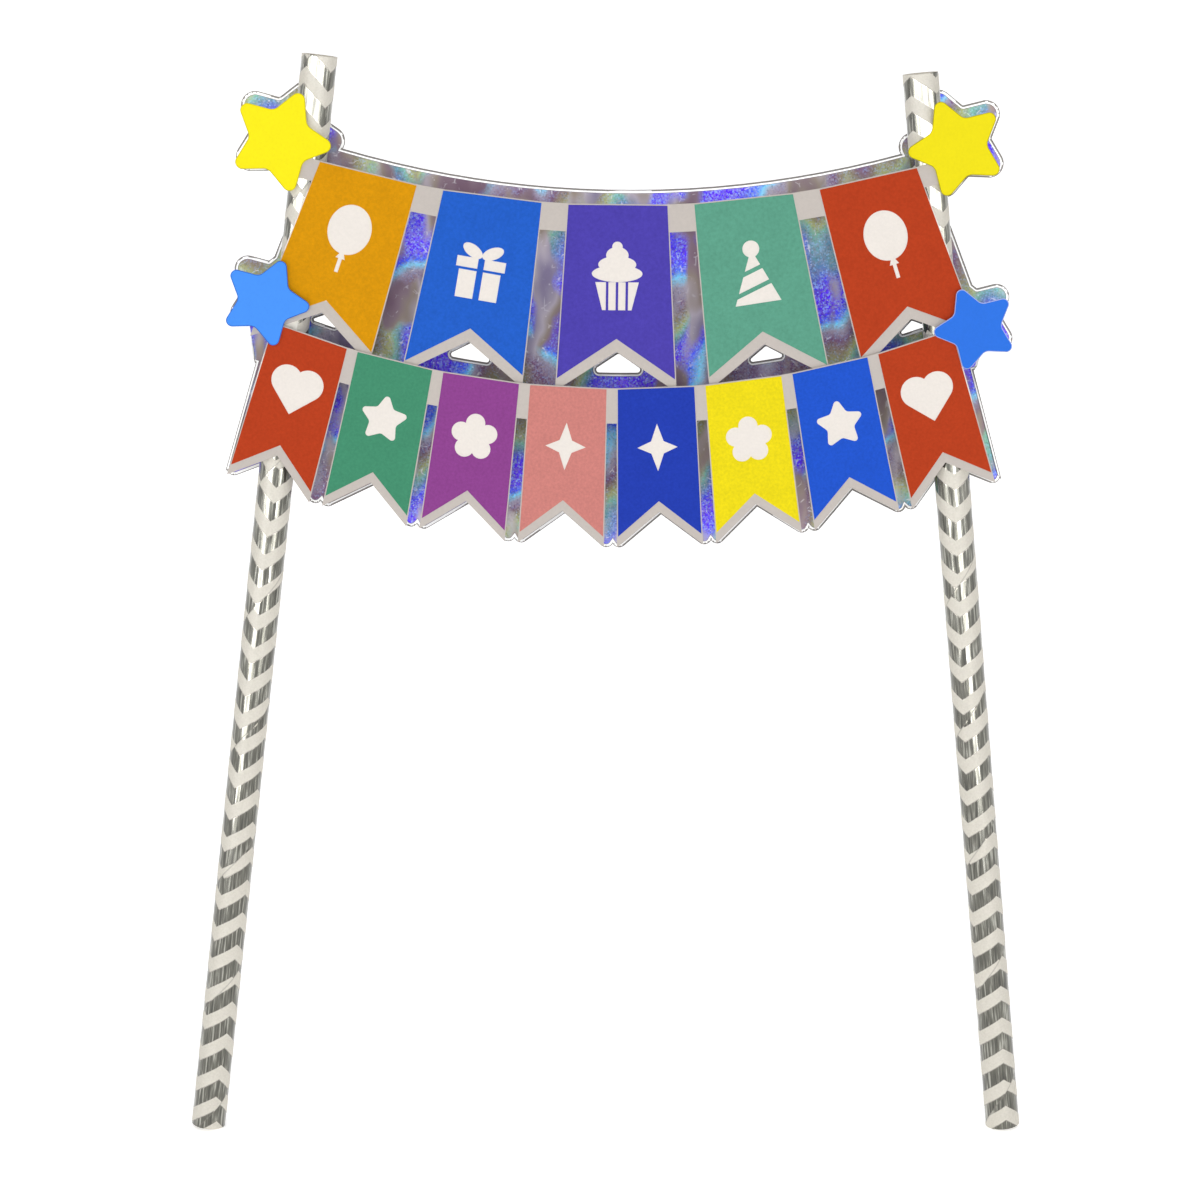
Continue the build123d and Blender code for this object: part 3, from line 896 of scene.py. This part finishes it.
@dataclass
class CutSheet:
    """A sheet piece whose front edge is pressed over by the die that cut it.

    Args:
        node: CAD node that it stands for.
        face: Finish of its front.
        edge: Finish of its sides and back.
        rings: Width in millimetres and finish of each band of the pressed edge, from the outside in.
        sink_mm: How far the outermost line goes back.
        holes: Whether it is pierced. A front without holes is made one flat face.
        weld_mm: Distance within which two corners are one.
        facing: Least share of a front face's normal that points forward.
    """

    node: str
    face: Finish
    edge: Finish
    rings: tuple[tuple[float, Finish], ...]
    sink_mm: float
    holes: bool = False
    weld_mm: float = 0.002
    facing: float = 0.9

    def build(self) -> bpy.types.Object:
        """Build and dress the sheet.

        Returns:
            The new piece.
        """
        shape = bmesh.new()
        shape.from_mesh(frame["nodes"][self.node].data)
        bmesh.ops.remove_doubles(shape, verts=shape.verts, dist=self.weld_mm * MM)
        shape.normal_update()
        if not self.holes:
            bmesh.ops.dissolve_faces(shape, faces=self.front(shape))
            shape.normal_update()
        self.press(shape)
        finishes = (self.face, self.edge, *(finish for _, finish in self.rings))
        return place_piece(make_mesh(f"{self.node}_cut", shape, *finishes), self.node)

    def front(self, shape: bmesh.types.BMesh) -> list[bmesh.types.BMFace]:
        """Return the faces that look forward."""
        return [face for face in shape.faces if -face.normal.y > self.facing]

    def press(self, shape: bmesh.types.BMesh) -> None:
        """Sort the faces by finish, and press the front's edge back in bands.

        Args:
            shape: The sheet's shape.
        """
        front = self.front(shape)
        ahead = set(front)
        for face in shape.faces:
            face.material_index = 0 if face in ahead else 1
            face.smooth = face in ahead
        rim = set()
        for edge in {edge for face in front for edge in face.edges}:
            if not ahead.issuperset(edge.link_faces):
                edge.smooth = False
                rim.update(edge.verts)
        for number, (width, _) in enumerate(self.rings, start=2):
            band = bmesh.ops.inset_region(shape, faces=front, thickness=width * MM, use_even_offset=True)
            for face in band["faces"]:
                face.material_index = number
                face.smooth = False
        for corner in rim:
            corner.co.y += self.sink_mm * MM
        shape.normal_update()


@dataclass
class Straw:
    """A paper straw: the chevron wrap as a new mesh, the plies inside it as CAD nodes.

    Args:
        side: Side of the topper that it stands on.
        wrap: Finish of its outside.
        around: Corners round the straw.
        step_mm: Distance between rings along it.
        ply_mm: Thickness of the outer ply.
        ease_mm: Rounding of the cut ends.
    """

    side: Side
    wrap: ChevronWrap
    around: int = 96
    step_mm: float = 2.0
    ply_mm: float = 0.15
    ease_mm: float = 0.05

    def place(self) -> tuple[Matrix, float]:
        """Find where the straw stands.

        Returns:
            Matrix of its lower end, with Z up the straw and -Y to the front, and its length in millimetres.
        """
        bore = f"{self.side.value}_straw_bore"
        mount = next(mount for mount in frame["record"]["mounts"] if mount["name"] == bore)
        up = -Vector(mount["axis"]).normalized()
        rear = Vector((0.0, 1.0, 0.0))
        right = rear.cross(up).normalized()
        turn = Matrix((right, rear, up)).transposed().to_4x4()
        return Matrix.Translation(Vector(mount["pos_m"])) @ turn, mount["dims"]["length_mm"]

    def profile(self, length: float) -> list[tuple[float, float]]:
        """Draw the outer ply from its lower cut to its upper one.

        Args:
            length: Length of the straw in millimetres.

        Returns:
            Radius and height of each ring, in millimetres.
        """
        radius = self.wrap.radius_mm
        inside = radius - self.ply_mm
        count = round(length / self.step_mm)
        near, close = self.ease_mm, 3 * self.ease_mm
        steps = [length * step / count for step in range(1, count)]
        heights = [near, close, *steps, length - close, length - near]
        lower = [(inside, near / 2), (radius - near, 0.0)]
        upper = [(radius - near, length), (inside, length - near / 2)]
        return [*lower, *((radius, height) for height in heights), *upper]

    def build(self) -> bpy.types.Object:
        """Build the wrap and dress the plies.

        Returns:
            The wrap's piece.
        """
        where, length = self.place()
        shape = bmesh.new()
        profile = [(reach * MM, height * MM) for reach, height in self.profile(length)]
        turn_profile(shape, profile, self.around, closed=True)
        for face in shape.faces:
            face.smooth = True
        bmesh.ops.recalc_face_normals(shape, faces=shape.faces)
        name = f"{self.side.value}_straw"
        for ply in ("middle", "inner"):
            dress_node(f"{name}_{ply}_ply", STRAW_CORE)
        return place_piece(make_mesh(f"{name}_wrap", shape, self.wrap), f"{name}_outer_ply", where)


@dataclass
class FlagRow:
    """A strip of flags, the ink printed on each and the pads behind them.

    Args:
        row: Which row it is.
        inks: Inks from left to right.
        border: Colour of the borders and tabs.
        ease_mm: Rounding of the strip's cut edges.
        motif_share: Size of the oval that holds a motif, as a share of its print's.
        motif_lift: Its lift from the print's middle, as a share of half the print's height.
        motif_deep_mm: Half its depth, which takes in the whole card.
    """

    row: Row
    inks: tuple[Ink, ...]
    border: str = "#c8c0b9"
    ease_mm: float = 0.05
    motif_share: float = 0.64
    motif_lift: float = 0.16
    motif_deep_mm: float = 4.0

    def motifs(self) -> tuple[tuple[Vector, Vector], ...]:
        """Work out an oval round each flag's motif.

        Returns:
            Middle and half size of each oval, in millimetres.
        """
        ovals = []
        for number in range(1, len(self.inks) + 1):
            low, high = (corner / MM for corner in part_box(f"{self.row.value}_print_{number}"))
            half = (high - low) / 2
            middle = (high + low) / 2 + Vector((0.0, 0.0, half.z * self.motif_lift))
            reach = half * self.motif_share
            ovals.append((middle, Vector((reach.x, self.motif_deep_mm, reach.z))))
        return tuple(ovals)

    def build(self) -> None:
        """Dress the strip, its prints and its pads."""
        name = self.row.value
        card = BorderedCard(
            f"grey_bordered_white_card_{name}", self.border, mottle=0.035, motifs=self.motifs()
        )
        bevel = dress_node(f"{name}_flag_strip", card).modifiers.new("eased_cut", "BEVEL")
        bevel.width = self.ease_mm * MM
        bevel.segments = 2
        bevel.limit_method = "ANGLE"
        for number, ink in enumerate(self.inks, start=1):
            dress_node(f"{name}_print_{number}", ink.finish())
        for number in range(2, len(self.inks)):
            dress_node(f"{name}_flag_pad_{number}", FOAM)


@dataclass
class StarPair:
    """The two stars of one row, with their pads.

    Args:
        row: Row whose ends they cover.
        left: Card of the left star.
        right: Card of the right star.
        roll_mm: Width of the rolled edge.
        sink_mm: How far it goes back.
    """

    row: Row
    left: StarCard
    right: StarCard
    roll_mm: float = 0.13
    sink_mm: float = 0.08

    def build(self) -> None:
        """Build the stars and dress their pads."""
        for side, card in ((Side.LEFT, self.left), (Side.RIGHT, self.right)):
            name = f"{self.row.value}_{side.value}_star"
            colour, rim = card.value
            face = PaperStock(f"dyed_card_{name}", colour, mottle=0.03)
            # The rolled edge's colour is painted light and shade, not the card's own
            edge = PaperStock(f"rim_painted_light_and_shade_{name}", rim, mottle=0.03)
            star = CutSheet(name, face, edge, ((self.roll_mm, edge),), self.sink_mm).build()
            # Its unlit back would mirror as a black nick in the foil beside it
            star.visible_glossy = False
            dress_node(f"{name}_pad", FOAM)


@dataclass
class Backing:
    """The die-cut backing: grey board with holographic film on its face.

    Args:
        cut_mm: Width of the cut's line of painted shade.
        rim_mm: Width of the film's pressed rim.
        crease_mm: Width of the fold inside it, painted as a dark line of shade.
        film_sink_mm: How far the film's edge goes back.
        board_sink_mm: How far the board's edge goes back.
    """

    cut_mm: float = 0.14
    rim_mm: float = 0.42
    crease_mm: float = 0.09
    film_sink_mm: float = 0.08
    board_sink_mm: float = 0.14

    def build(self) -> bpy.types.Object:
        """Build the board and the film, and dress the glue that holds them to the straws.

        Returns:
            The film's piece.
        """
        line = ((self.cut_mm, CUT_LINE_PAINTED_SHADE),)
        rings = (*line, (self.rim_mm, PRESSED_RIM), (self.crease_mm, RIM_CREASE_PAINTED_SHADE))
        film = CutSheet("holographic_film", FILM, CUT_LINE_PAINTED_SHADE, rings, self.film_sink_mm, holes=True).build()
        CutSheet("backing_card", GREY_BOARD, GREY_BOARD, line, self.board_sink_mm, holes=True).build()
        for side in Side:
            for place in ("rear", "upper", "lower"):
                dress_node(f"{side.value}_{place}_glue", GLUE)
        return film


class Falls(Enum):
    """What a panel's light falls on."""

    EVERYTHING = "everything"
    STRAW_FOIL = "straw_foil"
    FILM = "film"


@dataclass(frozen=True)
class Panel:
    """A flat soft light.

    Args:
        name: Name for the light.
        middle_mm: Its middle.
        faces: Direction that it shines in.
        wide_mm: Its width.
        tall_mm: Its height.
        radiance: Its brightness, with 1 for white in the picture.
        falls_on: What it lights. On the straws' foil it only gives streaks, as a strip softbox flagged off
            the card does.
        mirrored: Whether it shows in gloss.
    """

    name: str
    middle_mm: Triple
    faces: Triple
    wide_mm: float
    tall_mm: float
    radiance: float
    falls_on: Falls = Falls.EVERYTHING
    mirrored: bool = False

    def build(self, receivers: dict[Falls, bpy.types.Collection]) -> None:
        """Add the light to the scene.

        Args:
            receivers: Pieces that a light kept off the rest falls on.
        """
        lamp = bpy.data.lights.new(self.name, "AREA")
        lamp.shape = "RECTANGLE"
        lamp.size = self.wide_mm * MM
        lamp.size_y = self.tall_mm * MM
        lamp.energy = self.radiance * math.pi * lamp.size * lamp.size_y
        holder = add_object(self.name, lamp)
        holder.location = Vector(self.middle_mm) * MM
        holder.rotation_euler = Vector(self.faces).to_track_quat("-Z", "Y").to_euler()
        holder.visible_camera = False
        holder.light_linking.receiver_collection = receivers.get(self.falls_on)
        holder.visible_diffuse = self.falls_on is not Falls.STRAW_FOIL
        holder.visible_glossy = self.mirrored


REAR = (0.0, 1.0, 0.0)
DOWN = (0.0, 0.0, -1.0)
LEFTWARD = (-1.0, 0.0, 0.0)
RIGHTWARD = (1.0, 0.0, 0.0)
# Name, middle, direction, width and height of the strips that streak the foil, which are equally bright
STRIPS = (
    ("left_strip_softbox", (-215.0, -250.0, 115.0), REAR, 170.0, 230.0),
    ("right_strip_softbox", (127.0, -250.0, 115.0), REAR, 126.0, 230.0),
    ("top_strip_softbox", (-32.0, -250.0, 185.0), REAR, 200.0, 60.0),
    ("far_left_softbox", (-900.0, -1500.0, 190.0), REAR, 1200.0, 320.0),
    ("far_right_softbox", (900.0, -1500.0, 190.0), REAR, 1200.0, 320.0),
    ("side_left_softbox", (-1500.0, -1000.0, 190.0), RIGHTWARD, 1000.0, 320.0),
    ("side_right_softbox", (1500.0, -1000.0, 190.0), LEFTWARD, 1000.0, 320.0),
)
STRIP_RADIANCE = 6.8
PANELS = (
    *(Panel(*strip, STRIP_RADIANCE, Falls.STRAW_FOIL, mirrored=True) for strip in STRIPS),
    Panel("key_softbox", (-250.0, -1700.0, 520.0), (0.25, 1.7, -0.4), 900.0, 900.0, 1.72),
    Panel("high_flash", (0.0, -560.0, 520.0), (0.0, 0.56, -0.39), 120.0, 120.0, 28.0, Falls.FILM),
    Panel("ceiling_softbox", (0.0, -420.0, 1500.0), (0.0, 0.3, -1.0), 1800.0, 700.0, 6.0, Falls.FILM, True),
    Panel("overhead_panel", (0.0, 300.0, 2200.0), DOWN, 3600.0, 3600.0, 0.8),
)


@dataclass
class Studio:
    """A round white sweep, soft lights and the camera.

    Args:
        floor_m: Radius of the flat floor.
        wall_m: Radius and height of the curved wall.
        bends: Steps in the wall's curve.
        around: Corners round the sweep.
        panels: The lights.
        fill: Brightness of the even light from all sides.
        target_mm: Point that the camera looks at.
        distance_mm: Camera's distance from it.
        elevation: Camera's height above level, in degrees.
        focal_px: Focal length in pixels of the square picture.
        sensor_mm: Width of the camera's sensor.
        clip_m: Nearest distance that the camera sees.
    """

    floor_m: float = 2.4
    wall_m: float = 0.9
    bends: int = 12
    around: int = 96
    panels: tuple[Panel, ...] = PANELS
    fill: float = 0.3
    target_mm: Triple = (-1.032, 0.0, 100.52)
    distance_mm: float = 560.0
    elevation: float = 11.5
    focal_px: float = 3091.6
    sensor_mm: float = 36.0
    clip_m: float = 0.01

    def sweep(self) -> None:
        """Build the floor and its curved wall as one turned profile, from the top down."""
        profile = []
        for bend in range(self.bends, -1, -1):
            angle = math.pi / 2 * bend / self.bends
            reach = self.floor_m + self.wall_m * math.sin(angle)
            profile.append((reach, self.wall_m * (1 - math.cos(angle))))
        shape = bmesh.new()
        rings = turn_profile(shape, profile, self.around)
        for face in shape.faces:
            face.smooth = True
        shape.faces.new(rings[-1])
        mesh = make_mesh("studio_sweep", shape, BacklitAcrylic("backlit_white_acrylic"))
        add_object(mesh.name, mesh)

    def lights(self, lit: dict[Falls, tuple[bpy.types.Object, ...]]) -> None:
        """Add the panels and the even fill.

        Args:
            lit: Pieces that have lights of their own.
        """
        receivers = {}
        for falls_on, pieces in lit.items():
            receivers[falls_on] = bpy.data.collections.new(falls_on.value)
            for piece in pieces:
                receivers[falls_on].objects.link(piece)
        for panel in self.panels:
            panel.build(receivers)
        world = bpy.data.worlds.new("even_fill")
        world.use_nodes = True
        tree = world.node_tree
        feed(tree, tree.nodes["Background"], {"Color": linear("#fbfbff"), "Strength": self.fill})
        bpy.context.scene.world = world

    def camera(self) -> None:
        """Set up the camera at the photograph's place."""
        angle = math.radians(self.elevation)
        lens = bpy.data.cameras.new("photo_camera")
        lens.sensor_width = self.sensor_mm
        lens.lens = self.focal_px * lens.sensor_width / PHOTO_SIDE
        lens.clip_start = self.clip_m
        eye = add_object("photo_camera", lens)
        reach = Vector((0.0, -math.cos(angle), math.sin(angle))) * self.distance_mm
        eye.location = (Vector(self.target_mm) + reach) * MM
        eye.rotation_euler = (math.pi / 2 - angle, 0.0, 0.0)
        bpy.context.scene.camera = eye

    def build(self, lit: dict[Falls, tuple[bpy.types.Object, ...]]) -> None:
        """Build the whole studio.

        Args:
            lit: Pieces that have lights of their own.
        """
        self.sweep()
        self.lights(lit)
        self.camera()
        bpy.context.scene.view_settings.view_transform = "Standard"
        LOG.info("studio: sweep, lights and camera")


def main() -> None:
    """Build every sub-assembly in order."""
    logging.basicConfig(level=logging.INFO, format="%(message)s")
    wraps = (Straw(Side.LEFT, LEFT_WRAP).build(), Straw(Side.RIGHT, RIGHT_WRAP).build())
    film = Backing().build()
    Studio().build({Falls.STRAW_FOIL: wraps, Falls.FILM: (film,)})
    FlagRow(Row.UPPER, (Ink.AMBER, Ink.BLUE, Ink.VIOLET, Ink.TEAL, Ink.RED)).build()
    FlagRow(
        Row.LOWER,
        (Ink.RED, Ink.GREEN, Ink.PURPLE, Ink.PINK, Ink.ROYAL_BLUE, Ink.YELLOW, Ink.COBALT, Ink.RED),
    ).build()
    StarPair(Row.UPPER, StarCard.LEMON, StarCard.LEMON_PAINTED_SHADE).build()
    StarPair(Row.LOWER, StarCard.SKY, StarCard.SKY_PAINTED_SHADE).build()


if __name__ == "__main__":
    main()
